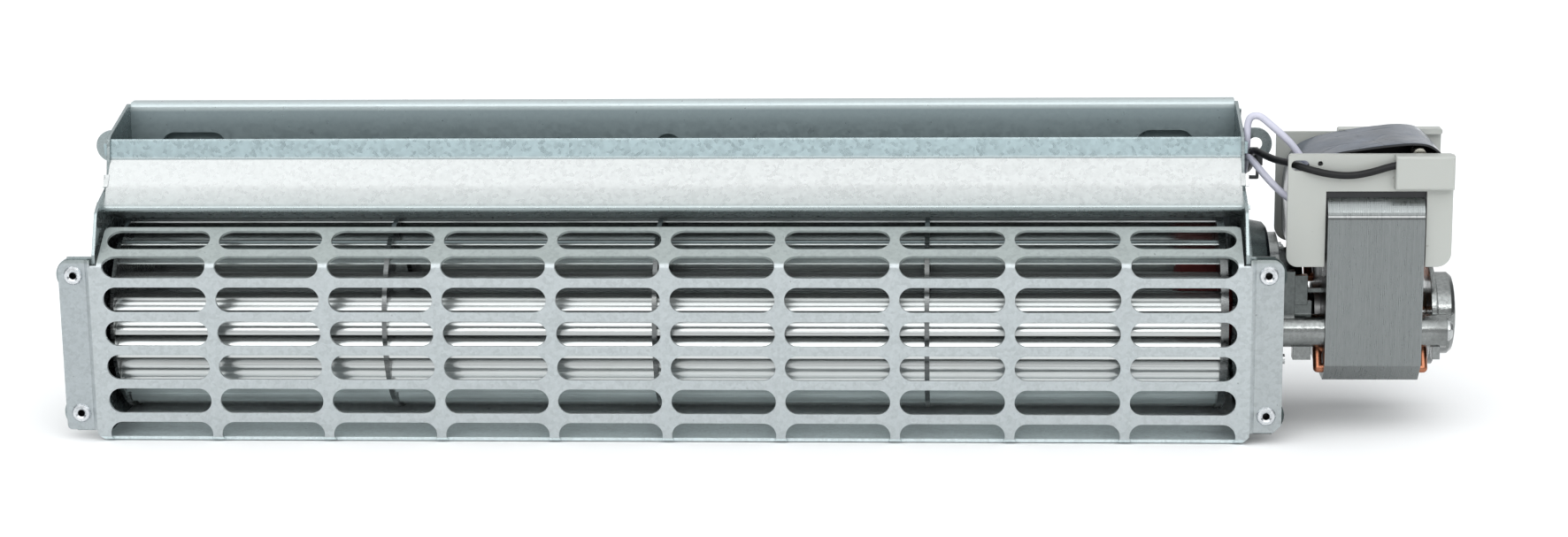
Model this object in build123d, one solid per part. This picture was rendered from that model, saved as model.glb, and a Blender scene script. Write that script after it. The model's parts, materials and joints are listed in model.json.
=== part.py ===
from build123d import *
import math
import os

# Tangential (cross flow) blower with a galvanised sheet housing.
# Millimetres. X runs along the impeller shaft towards the motor, Y towards the back, Z up.
# The section is laid out with Y = 0 on the front of the inlet grille, and every node is moved back by AXIS_Y
# before it is written, so that the origin lies on the base plane straight under the impeller shaft,
# half way along the housing.

# ---- driving dimensions ----
INNER_HALF = 181.0       # half of the distance between the two side plates
PLATE_T = 1.0            # side plate sheet
SHEET_T = 0.8            # scroll and guide sheet
GRILLE_T = 1.0           # inlet grille sheet
AXIS_Y = 36.0            # shaft behind the front of the grille
AXIS_Z = 34.0            # shaft above the base
BLADE_R_OUT = 30.0
BLADE_R_IN = 23.2
DISC_R = 31.0
BLADE_N = 24
BLADE_T = 0.5
DISC_X = [-90.0, -4.0, 82.0]
END_L = -178.2
END_R = 173.9
SLOT_W = 33.0
SLOT_H = 8.0
PITCH_X = 36.0
PITCH_Z = 11.0
COLS = 10
FACE_HALF = 182.8        # half width of the flat front face, to the joggle line
STRIP_HALF = 180.2       # half width of the leaning strip
WING_HALF = 192.8
WING_SET = 1.2           # how far the wings are joggled back
BEND_Z = 57.5
STRIP_L = 16.6
STRIP_DIR = (0.855, 0.5186)
RIVET_X = 188.0
RIVET_Z = [8.9, 53.9]
RIVET_HOLE_R = 1.9
EAR_X = 188.0
EAR_Z = 85.5
EAR_Y = 55.2
EAR_R = 5.3
EAR_HOLE_R = 2.2
DISH_R = 31.0
DISH_D = 8.0
STACK_X0, STACK_X1 = 207.0, 237.0
STACK_Y0, STACK_Y1 = 12.0, 60.0
STACK_Z0, STACK_Z1 = 16.4, 77.6
ROTOR_R = 11.0
BORE_R = 11.3
SHAFT_R = 2.5
SCREW_Y = [18.0, 54.0]
SCREW_Z = 32.5
SCREW_R = 1.75
LEAD_R = 1.15

NODES = {}


def keep(name, shape):
    NODES[name] = shape


def yz(sk, x0, x1):
    """Extrude a sketch drawn in (Y, Z) from x0 to x1."""
    return extrude(Plane.YZ.offset(x0) * sk, amount=x1 - x0, dir=(1, 0, 0))


def cyl_x(r, x0, x1, y=AXIS_Y, z=AXIS_Z):
    return yz(Pos(y, z) * Circle(r), x0, x1)


def ring_x(r0, r1, x0, x1, y=AXIS_Y, z=AXIS_Z):
    return yz(Pos(y, z) * (Circle(r1) - Circle(r0)), x0, x1)


def box(x0, x1, y0, y1, z0, z1):
    return Pos((x0 + x1) / 2, (y0 + y1) / 2, (z0 + z1) / 2) * Box(x1 - x0, y1 - y0, z1 - z0)


def turned(profile):
    """Turn a closed (X, R) polygon about the shaft line."""
    pts = [(x, r) for x, r in profile]
    face = make_face(Polyline(*pts, close=True))
    body = revolve(face, Axis.X)
    return Pos(0, AXIS_Y, AXIS_Z) * body


def solid(shape):
    """Return one clean solid or a compound of separate solids."""
    s = shape.solids()
    return s[0] if len(s) == 1 else Compound(children=list(s))


# ---- inlet grille: one folded sheet ----
def grille():
    t = GRILLE_T
    m = t / 2
    sy, sz = STRIP_DIR
    nx, nz = sz, -sy              # towards the front of the leaning strip
    # middle line of the sheet: base return, front face, leaning strip
    top = (sy * STRIP_L, BEND_Z + sz * STRIP_L)
    ang = math.acos(sz)           # turn between the face and the strip
    k = m * math.tan(ang / 2)
    line = FilletPolyline((46.0, m), (m, m), (m, BEND_Z - k), (top[0] + m * (-nx), top[1] + m * (-nz)), radius=[1.6, 2.2])
    sheet = yz(trace(line, t), -FACE_HALF, FACE_HALF)
    # the leaning strip is narrower than the face, with a relief slit at each end and rounded corners
    for s in (-1, 1):
        a, b = sorted((s * STRIP_HALF, s * (FACE_HALF + 1)))
        sheet -= box(a, b, -1, 30, BEND_Z - 0.3, 80)
    # joggle and wings
    wing = None
    for s in (-1, 1):
        pts = [(s * (FACE_HALF - 0.4), 0), (s * FACE_HALF, 0), (s * (FACE_HALF + 1.4), WING_SET), (s * WING_HALF, WING_SET),
               (s * WING_HALF, WING_SET + t), (s * (FACE_HALF + 1.1), WING_SET + t), (s * (FACE_HALF - 0.4), t)]
        w = extrude(Pos(0, 0, 3.4) * make_face(Polyline(*pts, close=True)), amount=58.9 - 3.4, dir=(0, 0, 1))
        # round the outer corners of the wing, seen from the front
        outer = [e for e in w.edges().filter_by(Axis.Y) if abs(abs(e.center().X) - WING_HALF) < 0.01]
        low = [e for e in outer if e.center().Z < 30]
        high = [e for e in outer if e.center().Z > 30]
        w = fillet(high, 3.8)
        low = [e for e in w.edges().filter_by(Axis.Y) if abs(abs(e.center().X) - WING_HALF) < 0.01 and e.center().Z < 5]
        w = fillet(low, 1.5) if s < 0 else chamfer(low, 2.4)
        sheet += w
    # lower corners of the front face are cut off at 45 degrees below the wings
    for s in (-1, 1):
        cut = make_face(Polyline((s * FACE_HALF, 2.2), (s * (FACE_HALF + 3), 2.2), (s * (FACE_HALF + 3), -2), (s * (FACE_HALF - 2.2), -2), (s * (FACE_HALF - 2.2), 0), close=True))
        sheet -= extrude(Plane.XZ.offset(-60) * cut, amount=70, dir=(0, -1, 0))
    # base return is narrower, so that it lies between the side plates
    for s in (-1, 1):
        a, b = sorted((s * (INNER_HALF - 0.2), s * (FACE_HALF + 1)))
        sheet -= box(a, b, 2.4, 60, -1, 3)
    # slots
    cuts = []
    xs = [(i - (COLS - 1) / 2) * PITCH_X for i in range(COLS)]
    slot = SlotOverall(SLOT_W, SLOT_H)
    for row in range(5):
        zc = 2.3 + PITCH_Z * (row + 0)
        depth = 1.7 if row == 0 else 2.0
        for x in xs:
            cuts.append(extrude(Plane((x, -1, zc), x_dir=(1, 0, 0), z_dir=(0, -1, 0)) * slot, amount=1 + depth, dir=(0, 1, 0)))
    zc = 2.3 + PITCH_Z * 5
    for x in xs:
        cuts.append(extrude(Plane((x, -1, zc), x_dir=(1, 0, 0), z_dir=(0, -1, 0)) * slot, amount=2.1, dir=(0, 1, 0)))
        cuts.append(extrude(Plane((x, nx * 1.5, BEND_Z + nz * 1.5), x_dir=(1, 0, 0), z_dir=(0, nx, nz)) * slot, amount=4.2, dir=(0, -nx, -nz)))
        u = 11.0
        c = (x, sy * u + nx * 1.5, BEND_Z + sz * u + nz * 1.5)
        cuts.append(extrude(Plane(c, x_dir=(1, 0, 0), z_dir=(0, nx, nz)) * slot, amount=4, dir=(0, -nx, -nz)))
    sheet = sheet.cut(*[s for c in cuts for s in c.solids()])
    # rivet holes in the wings
    for s in (-1, 1):
        for z in RIVET_Z:
            sheet -= extrude(Plane((s * RIVET_X, -1, z), x_dir=(1, 0, 0), z_dir=(0, -1, 0)) * Circle(RIVET_HOLE_R), amount=6, dir=(0, 1, 0))
    # rounded top corners of the leaning strip
    c0 = (0, top[0], top[1])
    for s in (-1, 1):
        r = 2.0
        sk = make_face(Polyline((0, 0), (s * r, 0), (s * r, r), (0, r), close=True)) - Circle(r)
        pl = Plane((s * (STRIP_HALF - r), sy * (STRIP_L - r) + nx * 2, BEND_Z + sz * (STRIP_L - r) + nz * 2), x_dir=(1, 0, 0), z_dir=(0, nx, nz))
        # local y of this plane runs up the strip
        sheet -= extrude(pl * (sk if pl.y_dir.Z > 0 else mirror(sk, Plane.XZ)), amount=5, dir=(0, -nx, -nz))
    return sheet


keep("inlet_grille", solid(grille()))


# ---- scroll and back plate ----
# inner surface line from the base sheet round behind the impeller and up the outlet back wall
SC = [(24.0, 1.4), (38.0, 1.4), (47.0, 2.9), (57.0, 8.0), (65.2, 17.5), (69.8, 29.0), (70.8, 41.5), (67.6, 54.0), (60.8, 65.0),
      (55.6, 74.5), (54.0, 84.0), (54.8, 96.4)]
BACK_TOP = (55.0, 99.7)
RECESS_D = 3.4            # depth of the pressed recesses in the outlet wall
FLANGE_BACK = 5.0         # depth of the flange turned back along the top of the outlet wall


def scroll():
    base = Line(SC[0], SC[1])
    curve = Spline(*SC[1:11], tangents=[(1, 0), (0.02, 1)])
    up = FilletPolyline(SC[10], BACK_TOP, (BACK_TOP[0] + FLANGE_BACK, BACK_TOP[1]), radius=1.4)
    parts = [yz(trace(e, SHEET_T), -INNER_HALF, INNER_HALF) for e in (base, curve, up)]
    s = parts[0] + parts[1] + parts[2]
    # three pressed recesses in the outlet wall
    for x0, x1, zt in ((-171.0, -149.5, 90.3), (149.5, 168.0, 90.3), (-7.5, 1.5, 89.5)):
        h = 9.0
        w = x1 - x0
        cx = (x0 + x1) / 2
        sk = RectangleRounded(w, h, 4.4) if w > 10 else Circle(w / 2)
        zc = zt - (h / 2 if w > 10 else w / 2)
        pocket = extrude(Plane((cx, 50, zc), x_dir=(1, 0, 0), z_dir=(0, -1, 0)) * sk, amount=12, dir=(0, 1, 0))
        y0 = 54.35
        shell = extrude(Plane((cx, y0, zc), x_dir=(1, 0, 0), z_dir=(0, -1, 0)) * offset(sk, 0.7), amount=RECESS_D + 0.7, dir=(0, 1, 0))
        inner = extrude(Plane((cx, 50, zc), x_dir=(1, 0, 0), z_dir=(0, -1, 0)) * sk, amount=y0 + RECESS_D - 50, dir=(0, 1, 0))
        s = (s + shell) - inner
    return s


SCROLL_TABS = [(54.72, 95.3, 87), (70.6, 40.0, 90), (30.0, 1.4, 0)]   # y, z, turn of the tab's width in degrees
GUIDE_TABS = [(28.4, 89.4, 76), (21.9, 80.2, 47), (15.9, 73.9, 44)]


def tab(y, z, deg, side, t=SHEET_T, w=4.6):
    """A tab through a side plate, with its end twisted to lock it."""
    x0, x1 = INNER_HALF - 0.5, INNER_HALF + PLATE_T
    body = Pos((x0 + x1) / 2, 0, 0) * Box(x1 - x0, w, t)
    head = Pos(x1 + 0.55, 0, 0) * (Rot(24, 0, 0) * Box(1.1, w - 0.6, t))
    piece = Pos(0, y, z) * (Rot(deg, 0, 0) * (body + head))
    return piece if side > 0 else mirror(piece, Plane.YZ)


def tab_hole(y, z, deg, side, t=SHEET_T, w=4.6):
    hole = Pos(0, y, z) * (Rot(deg, 0, 0) * (Pos(INNER_HALF + PLATE_T / 2, 0, 0) * Box(PLATE_T + 0.8, w, t)))
    return hole if side > 0 else mirror(hole, Plane.YZ)


sc = scroll()
for side in (-1, 1):
    for y, z, d in SCROLL_TABS:
        sc = sc + tab(y, z, d, side)
keep("scroll_back_plate", solid(sc))


# ---- front guide plate with lip, nose and tongue ----
GP = [(29.2, 92.6), (27.7, 86.4), (14.2, 72.2), (26.8, 67.6), (30.2, 68.6)]


def guide():
    line = FilletPolyline(GP[0], GP[1], (20.6, 78.4), GP[2], GP[3], GP[4], radius=[1.2, 30.0, 0.95, 1.6])
    s = yz(trace(line, SHEET_T), -INNER_HALF, INNER_HALF)
    return s


gd = guide()
for side in (-1, 1):
    for y, z, d in GUIDE_TABS:
        gd = gd + tab(y, z, d, side)
keep("front_guide_plate", solid(gd))


# ---- side plates ----
def plate(side):
    pts = [(WING_SET + GRILLE_T, 2.6), (WING_SET + GRILLE_T, 60.2), (8.0, 72.6), (11.6, 74.9), (22.6, 78.3), (25.0, 81.5), (27.8, 92.6),
           (30.0, 93.9), (54.2, 99.9), (56.2, 99.2), (56.2, 79.5), (63.5, 69.0), (70.5, 58.0), (74.0, 45.0), (73.8, 31.0), (69.0, 15.5),
           (60.0, 5.2), (50.0, 0.0), (4.0, 0.0)]
    sk = make_face(Polyline(*pts, close=True))
    vs = [v for v in sk.vertices() if v.X > 60 or v.Y > 98 or (20 < v.X < 26 and 76 < v.Y < 83) or (v.X < 13 and v.Y > 70)]
    sk = fillet(vs, 1.2)
    p = yz(sk, INNER_HALF, INNER_HALF + PLATE_T)
    # riveting flange turned outwards along the front edge, with a round ear at each rivet
    y0, y1 = WING_SET + GRILLE_T, WING_SET + GRILLE_T + PLATE_T
    fl = RectangleRounded(9.0, 57.2, 1.6)
    prof = Pos(INNER_HALF + 4.5, 31.3) * Rectangle(9.0, 56.8)
    for z in RIVET_Z:
        prof += Pos(RIVET_X, z) * Circle(5.7)
        prof += Pos((INNER_HALF + RIVET_X) / 2, z) * Rectangle(RIVET_X - INNER_HALF, 11.4)
    for z in RIVET_Z:
        prof -= Pos(RIVET_X, z) * Circle(RIVET_HOLE_R)
    prof &= Pos(INNER_HALF + 10, 31.3) * Rectangle(20, 57.8)
    flange = extrude(Plane((0, y1, 0), x_dir=(1, 0, 0), z_dir=(0, -1, 0)) * prof, amount=PLATE_T, dir=(0, -1, 0))
    p = p + flange
    # rear mounting ear, turned outwards along the rear edge
    ear = Pos((INNER_HALF + EAR_X) / 2, EAR_Z) * Rectangle(EAR_X - INNER_HALF, 2 * EAR_R) + Pos(EAR_X, EAR_Z) * Circle(EAR_R)
    ear -= Pos(EAR_X, EAR_Z) * Circle(EAR_HOLE_R)
    p = p + extrude(Plane((0, EAR_Y + PLATE_T, 0), x_dir=(1, 0, 0), z_dir=(0, -1, 0)) * ear, amount=PLATE_T, dir=(0, -1, 0))
    for y, z, d in SCROLL_TABS + GUIDE_TABS:
        p = p - tab_hole(y, z, d, 1)
    return p


right = plate(1)
# drawn dish for the motor
xo = INNER_HALF + PLATE_T
right = right - cyl_x(DISH_R - 0.2, INNER_HALF - 1, xo + 1)
dish = turned([(INNER_HALF, DISH_R + 1.2), (INNER_HALF, DISH_R - 0.6), (INNER_HALF + 0.9, DISH_R - 1.6), (INNER_HALF + DISH_D - 1.2, DISH_R - 2.6),
               (INNER_HALF + DISH_D, DISH_R - 3.6), (INNER_HALF + DISH_D, 14.0), (xo + DISH_D, 14.0), (xo + DISH_D, DISH_R - 3.0),
               (xo + DISH_D - 1.0, DISH_R - 1.8), (xo + 1.2, DISH_R - 0.7), (xo, DISH_R + 0.4), (xo, DISH_R + 1.2)])
right = right + dish
for a in (90, 210, 330):
    y = AXIS_Y + 21.5 * math.cos(math.radians(a))
    z = AXIS_Z + 21.5 * math.sin(math.radians(a))
    right = right - cyl_x(1.6, INNER_HALF + DISH_D - 2, xo + DISH_D + 2, y, z)
# saddle holes for the cable tie
TIE_Y0, TIE_Y1 = 43.0, 45.4
TIE_Z = (76.3, 77.1, 85.5, 86.3)
right = right - box(INNER_HALF - 1, xo + 1, TIE_Y0, TIE_Y1, TIE_Z[0], TIE_Z[1])
right = right - box(INNER_HALF - 1, xo + 1, TIE_Y0, TIE_Y1, TIE_Z[2], TIE_Z[3])
keep("side_plate_right", solid(right))

left = mirror(plate(1), Plane.YZ)
xl = -INNER_HALF
left = left - cyl_x(17.2, xl - 2, xl + 1)
ldish = mirror(turned([(INNER_HALF, 18.5), (INNER_HALF, 16.6), (INNER_HALF + 3.0, 14.8), (INNER_HALF + 3.0, 10.5), (INNER_HALF + 4.0, 10.5),
                       (INNER_HALF + 4.0, 15.4), (INNER_HALF + 1.0, 17.2), (INNER_HALF + 1.0, 18.5)]), Plane.YZ)
left = left + ldish
keep("side_plate_left", solid(left))


# ---- rivets ----
riv = []
for s in (-1, 1):
    for z in RIVET_Z:
        y0 = WING_SET
        prof = [(0, 1.0), (-0.55, 1.15), (-1.0, 1.75), (-0.85, 2.6), (-0.2, 3.05), (0.0, 3.05), (0.0, RIVET_HOLE_R), (2.0, RIVET_HOLE_R), (2.0, 2.7), (3.3, 2.3), (4.6, 1.5), (4.6, 0.0), (2.2, 0.0), (2.2, 1.0)]
        face = make_face(Polyline(*[(d, r) for d, r in prof], close=True))
        b = revolve(face, Axis.X)                       # along X from the head to the tail
        b = Rot(0, 0, 90) * b
        riv.append(Pos(s * RIVET_X, y0, z) * b)
keep("grille_rivets", Compound(children=riv))


# ---- impeller ----
def blade_sketch(i, grow=0.0):
    """One forward curved blade in (Y, Z) about the shaft."""
    n = 6
    a0 = 2 * math.pi * i / BLADE_N
    inner, outer = [], []
    for j in range(n + 1):
        u = j / n
        r = BLADE_R_IN + (BLADE_R_OUT - BLADE_R_IN) * u
        lean = math.radians(16.0 * (u ** 2))
        inner.append((r * math.cos(a0 + lean), r * math.sin(a0 + lean)))
    mid = [(AXIS_Y + y, AXIS_Z + z) for y, z in inner]
    arc = ThreePointArc(mid[0], mid[n // 2], mid[n])
    return trace(arc, BLADE_T)


blades = []
blade_cut = []
for i in range(BLADE_N):
    sk = blade_sketch(i)
    blades.append(yz(sk, END_L - 0.2, END_R + 1.0))
keep("impeller_blades", Compound(children=[b.solids()[0] for b in blades]))
tools = [b.solids()[0] for b in blades]

rings = []
for x in DISC_X:
    r = ring_x(20.5, DISC_R, x - 0.75, x + 0.75)
    rings.append(r.cut(*tools))
keep("middle_discs", Compound(children=[s for r in rings for s in r.solids()]))

el = ring_x(6.0, DISC_R, END_L, END_L + 0.9) + ring_x(DISC_R - 0.7, DISC_R, END_L, END_L + 1.2)
keep("end_disc_left", solid(el.cut(*tools)))
er = ring_x(9.0, DISC_R, END_R, END_R + 0.8) + ring_x(DISC_R - 0.7, DISC_R - 0.3, END_R, END_R + 2.4) + ring_x(28.6, DISC_R, END_R + 1.7, END_R + 2.4)
keep("end_disc_right", solid(er.cut(*tools)))

# left stub shaft: steel pin with a riveted flange hub on the left end disc
stub = turned([(-189.0, 0), (-189.0, 2.5), (-188.5, 3.0), (END_L - 0.8, 3.0), (END_L - 0.8, 7.0), (END_L, 7.0), (END_L, 6.0), (END_L + 0.9, 6.0),
               (END_L + 0.9, 7.6), (END_L + 1.6, 7.6), (END_L + 1.6, 0)])
keep("stub_shaft", solid(stub))

# rubber hub that carries the motor shaft
hub = turned([(161.6, SHAFT_R), (161.6, 15.0), (162.6, 16.5), (171.0, 18.0), (END_R, 18.0), (END_R, 9.0), (END_R + 0.8, 9.0), (END_R + 0.8, 12.0),
              (178.4, 11.2), (179.2, 10.0), (179.2, SHAFT_R)])
keep("drive_hub", solid(hub))

# ---- left bearing ----
bush_l = turned([(-187.2, 3.05), (-187.2, 4.6), (-186.0, 5.6), (-184.6, 6.0), (-182.6, 6.0), (-180.6, 5.4), (-179.6, 4.6), (-179.6, 3.05)])
keep("bearing_bush_left", solid(bush_l))
rubber = turned([(-187.0, 6.6), (-187.0, 11.6), (-186.0, 12.6), (-185.0, 12.6), (-185.0, 10.5), (-184.0, 10.5), (-184.0, 13.2), (-181.6, 12.6),
                 (-180.2, 11.0), (-180.2, 6.6), (-182.6, 6.0), (-184.6, 6.0)])
keep("rubber_bearing_ring", solid(rubber))

# ---- motor ----
keep("motor_shaft", solid(turned([(162.5, 0), (162.5, SHAFT_R), (247.6, SHAFT_R), (248.0, 2.1), (248.0, 0)])))
rot = turned([(204.5, SHAFT_R), (204.5, 6.0), (205.1, ROTOR_R - 1.2), (207.0, ROTOR_R - 1.2), (207.0, ROTOR_R), (237.0, ROTOR_R), (237.0, ROTOR_R - 1.2),
              (239.0, ROTOR_R - 1.2), (239.6, 6.0), (239.6, SHAFT_R)])
keep("rotor", solid(rot))


def stack_sketch():
    y0, y1, z0, z1 = STACK_Y0, STACK_Y1, STACK_Z0, STACK_Z1
    sk = make_face(Polyline((y0, z0 + 6.0), (y0, z1), (y1, z1), (y1, z0 + 6.0), (y1 - 6.0, z0), (y0 + 6.0, z0), close=True))
    sk = fillet([v for v in sk.vertices() if v.Y > z1 - 1], 9.0)
    window = Pos((y0 + y1) / 2, 57.0) * Rectangle(y1 - y0 - 18.0, 8.0)
    sk -= window
    sk -= Pos(AXIS_Y, AXIS_Z) * Circle(BORE_R)
    for y in SCREW_Y:
        sk -= Pos(y, SCREW_Z) * Circle(SCREW_R)
    for y, z in SHADE:
        sk -= Pos(y, z) * Circle(SHADE_R)
    return sk


SHADE_R = 1.45
SHADE = [(17.6, 20.3), (20.6, 25.85), (2 * AXIS_Y - 17.6, 47.7), (2 * AXIS_Y - 20.6, 42.15)]
keep("stator_stack", solid(yz(stack_sketch(), STACK_X0, STACK_X1)))

rings = []
for (ya, za), (yb, zb) in ((SHADE[0], SHADE[1]), (SHADE[2], SHADE[3])):
    dy, dz = yb - ya, zb - za
    ln = math.hypot(dy, dz)
    deg = math.degrees(math.atan2(dz, dy))
    x0, x1 = STACK_X0 - 1.5, STACK_X1 + 1.5
    bars = (cyl_x(SHADE_R, x0, x1, ya, za) + cyl_x(SHADE_R, x0, x1, yb, zb))
    for x in (x0, x1):
        link = Pos(x, (ya + yb) / 2, (za + zb) / 2) * (Rot(deg, 0, 0) * (Rot(90, 0, 0) * Cylinder(SHADE_R, ln)))
        bars = bars + link
        bars = bars + Pos(x, ya, za) * Sphere(SHADE_R) + Pos(x, yb, zb) * Sphere(SHADE_R)
    rings += bars.solids()
keep("shading_rings", Compound(children=rings))

# bobbin: two wide flanges that straddle the legs of the stack, tube round the core bar, terminal box
FX0, FX1 = 194.5, 245.6
REAR_X1 = 247.2           # the rear flange stands out further
FZ0, FZ1 = 53.9, 89.8
FY = 14.0
RY = 53.4
NX0, NX1 = STACK_X0 - 0.6, STACK_X1 + 0.6


def flange(y0, t, rl, rr, rtl, rtr, FX1=FX1):
    sk = make_face(Polyline((FX0, FZ0), (FX1, FZ0), (FX1, FZ1), (FX0, FZ1), close=True))
    def at(x, z):
        return [v for v in sk.vertices() if abs(v.X - x) < 0.01 and abs(v.Y - z) < 0.01]
    sk = fillet(at(FX0, FZ0), rl)
    sk = fillet(at(FX1, FZ0), rr)
    sk = fillet(at(FX0, FZ1), rtl)
    sk = fillet(at(FX1, FZ1), rtr)
    sk -= Pos((NX0 + NX1) / 2, (FZ0 + STACK_Z1) / 2 + 0.0) * Rectangle(NX1 - NX0, STACK_Z1 - FZ0 + 0.8)
    sk -= Pos((NX0 + NX1) / 2, FZ0) * Rectangle(NX1 - NX0, 2)
    return sk, extrude(Plane((0, y0 + t, 0), x_dir=(1, 0, 0), z_dir=(0, -1, 0)) * sk, amount=t, dir=(0, -1, 0))


def hole_y(x, z, r, y0, y1):
    return extrude(Plane((x, y0, z), x_dir=(1, 0, 0), z_dir=(0, -1, 0)) * Circle(r), amount=y1 - y0, dir=(0, 1, 0))


_, front = flange(FY, 1.6, 3.5, 4.5, 1.0, 1.2)
_, rear = flange(RY, 1.6, 4.5, 3.5, 1.2, 1.2, REAR_X1)
tube_out = box(STACK_X0 - 1.6, STACK_X1 + 1.6, 21.4, 50.6, 59.6, STACK_Z1 + 1.4)
tube_in = box(STACK_X0, STACK_X1, 21.0, 51.0, 61.0, STACK_Z1)
bob = (tube_out - tube_in)
# cheeks that join the tube to the two wide flanges over the top and down both sides of the legs
for y0, y1 in ((FY + 1.6, 22.4), (49.6, RY)):
    cheek = box(NX0 - 1.4, NX1 + 1.4, y0, y1, FZ0 + 1.0, STACK_Z1 + 1.8) - box(NX0, NX1, y0 - 1, y1 + 1, FZ0 - 1, STACK_Z1 + 0.4)
    bob = bob + cheek
for y0, y1 in ((21.4, 22.4), (49.6, 50.6)):
    wall = box(STACK_X0 - 1.6, STACK_X1 + 1.6, y0, y1, 53.6, 61.0) - box(STACK_X0, STACK_X1, y0 - 1, y1 + 1, 61.0, STACK_Z1)
    bob = bob + wall
# terminal box, open at the back of its front wall
tb = box(227.2, FX1 - 0.2, 9.6, FY, 79.2, FZ1)
tb = fillet([e for e in tb.edges().filter_by(Axis.Z) if e.center().Y < 10] + [e for e in tb.edges().filter_by(Axis.X) if e.center().Y < 10], 0.8)
bob = bob + front + rear + tb
# small ledge over the rear flange on the motor side
bob = bob + fillet(box(214.0, REAR_X1, RY - 3.0, RY + 1.6, FZ1 - 0.4, FZ1 + 1.4).edges().filter_by(Axis.Y), 0.7)
bob = bob - extrude(Plane((198.2, FY - 1, 86.2), x_dir=(1, 0, 0), z_dir=(0, -1, 0)) * SlotOverall(5.6, 3.3), amount=4, dir=(0, 1, 0))
bob = bob - hole_y(204.4, 86.8, 0.8, FY - 1, FY + 3)
bob = bob - box(225.0, 229.0, 10.6, 13.4, 85.4, 88.2)
keep("bobbin", solid(bob))

wind = box(199.6, 242.0, 22.4, 49.6, 54.6, 86.4)
wind = fillet(wind.edges().filter_by(Axis.Y), 5.0) - box(STACK_X0 - 1.6, STACK_X1 + 1.6, 22, 50, 59.6, STACK_Z1 + 1.4)
keep("coil_winding", solid(wind))

# insulating tape wrapped over the winding and out to the wide flanges
T0, T1 = FY + 1.6, 49.9
TAPE = [(196.4, 58.0), (196.0, 70.0), (196.8, 79.6), (199.2, 84.9), (203.6, 88.0), (210.0, 90.1), (218.0, 91.5), (226.0, 92.5), (233.0, 93.0),
        (238.4, 92.3), (242.2, 89.2), (243.8, 83.5), (244.2, 76.0), (244.2, 66.0), (243.2, 58.0)]
tape_face = make_face(Spline(*TAPE) + Line(TAPE[-1], TAPE[0]))
tape = extrude(Plane((0, T1, 0), x_dir=(1, 0, 0), z_dir=(0, -1, 0)) * tape_face, amount=T1 - T0, dir=(0, -1, 0))
tape -= box(NX0 - 1.4, NX1 + 1.4, T0 - 1, 22.4, 50, STACK_Z1 + 1.8)
tape -= box(NX0 - 1.4, NX1 + 1.4, 49.6, T1 + 1, 50, STACK_Z1 + 1.8)
tape -= fillet(box(199.6, 242.0, 22.4, 49.6, 54.6, 86.4).edges().filter_by(Axis.Y), 5.0)
# the tape stands off the front flange at the top and leaves an open pocket with the thermal fuse in it
POCKET = [(206.4, 86.9), (206.4, 88.2), (210.2, 89.35), (218.1, 90.75), (226.1, 91.75), (232.9, 92.2), (237.9, 91.6), (241.2, 88.9), (242.0, 86.9)]
pocket = extrude(Plane((0, 31.0, 0), x_dir=(1, 0, 0), z_dir=(0, -1, 0)) * make_face(Polyline(*POCKET, close=True)), amount=17.0, dir=(0, -1, 0))
tape -= pocket
keep("coil_tape", solid(max(tape.solids(), key=lambda s: s.volume)))
print("tape pieces", len(tape.solids()))
fuse = hole_y(235.4, 88.95, 2.05, 17.2, 24.0)
keep("thermal_fuse", solid(fuse))


# ---- motor brackets, bushes, screws ----
def bracket_left():
    x0 = xo + DISH_D
    b = ring_x(17.0, 26.0, x0, x0 + 3.2)
    b = b + ring_x(6.0, 9.4, x0 + 1.0, 203.2)
    b = b + turned([(x0 + 1.2, 9.0), (x0 + 1.2, 17.6), (x0 + 3.2, 17.6), (x0 + 5.4, 9.0)])
    for y in SCREW_Y:
        b = b + cyl_x(5.3, x0, STACK_X0, y, SCREW_Z)
        s = 1 if y > AXIS_Y else -1
        # web between the pillar and the flange
        b = b + box(x0 + 0.4, 198.5, min(y, AXIS_Y + s * 9), max(y, AXIS_Y + s * 9), SCREW_Z - 2.0, SCREW_Z + 2.0)
        b = b + box(197.4, 203.0, y - 2.2, y + 2.2, 23.4, SCREW_Z)
        # stepped wall above the pillar, with a thin spacer against the stack
        b = b + box(x0 + 0.4, 197.6, y - 1.4 - 1.2 * (s < 0), y + 1.4 + 1.2 * (s > 0), SCREW_Z, 52.0)
        b = b + box(197.4, 201.7, y - 1.4, y + 1.4, 41.0, 50.5)
        b = b + box(197.4, 203.2, y - 0.2 - 0.8 * (s > 0), y + 1.0 - 0.8 * (s > 0), SCREW_Z, 42.0)
        if s < 0:
            b = b + box(201.0, STACK_X0, y - 0.6, y + 0.6, 44.9, 46.2)
    # top stiffening rib arch
    arch = Pos(AXIS_Y, AXIS_Z) * (Circle(21.0) - Circle(18.6)) & Pos(AXIS_Y, 60) * Rectangle(60, 36)
    b = b + yz(arch, x0 + 2.0, 200.6)
    b = b - cyl_x(6.0, 150, 260)
    b = b + ring_x(3.6, 9.0, 203.2, 203.9)
    for y in SCREW_Y:
        b = b - cyl_x(SCREW_R, 150, 260, y, SCREW_Z)
    for a in (90, 210, 330):
        y = AXIS_Y + 21.5 * math.cos(math.radians(a))
        z = AXIS_Z + 21.5 * math.sin(math.radians(a))
        b = b - cyl_x(1.6, x0 - 1, x0 + 7.2, y, z)
    return b


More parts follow.
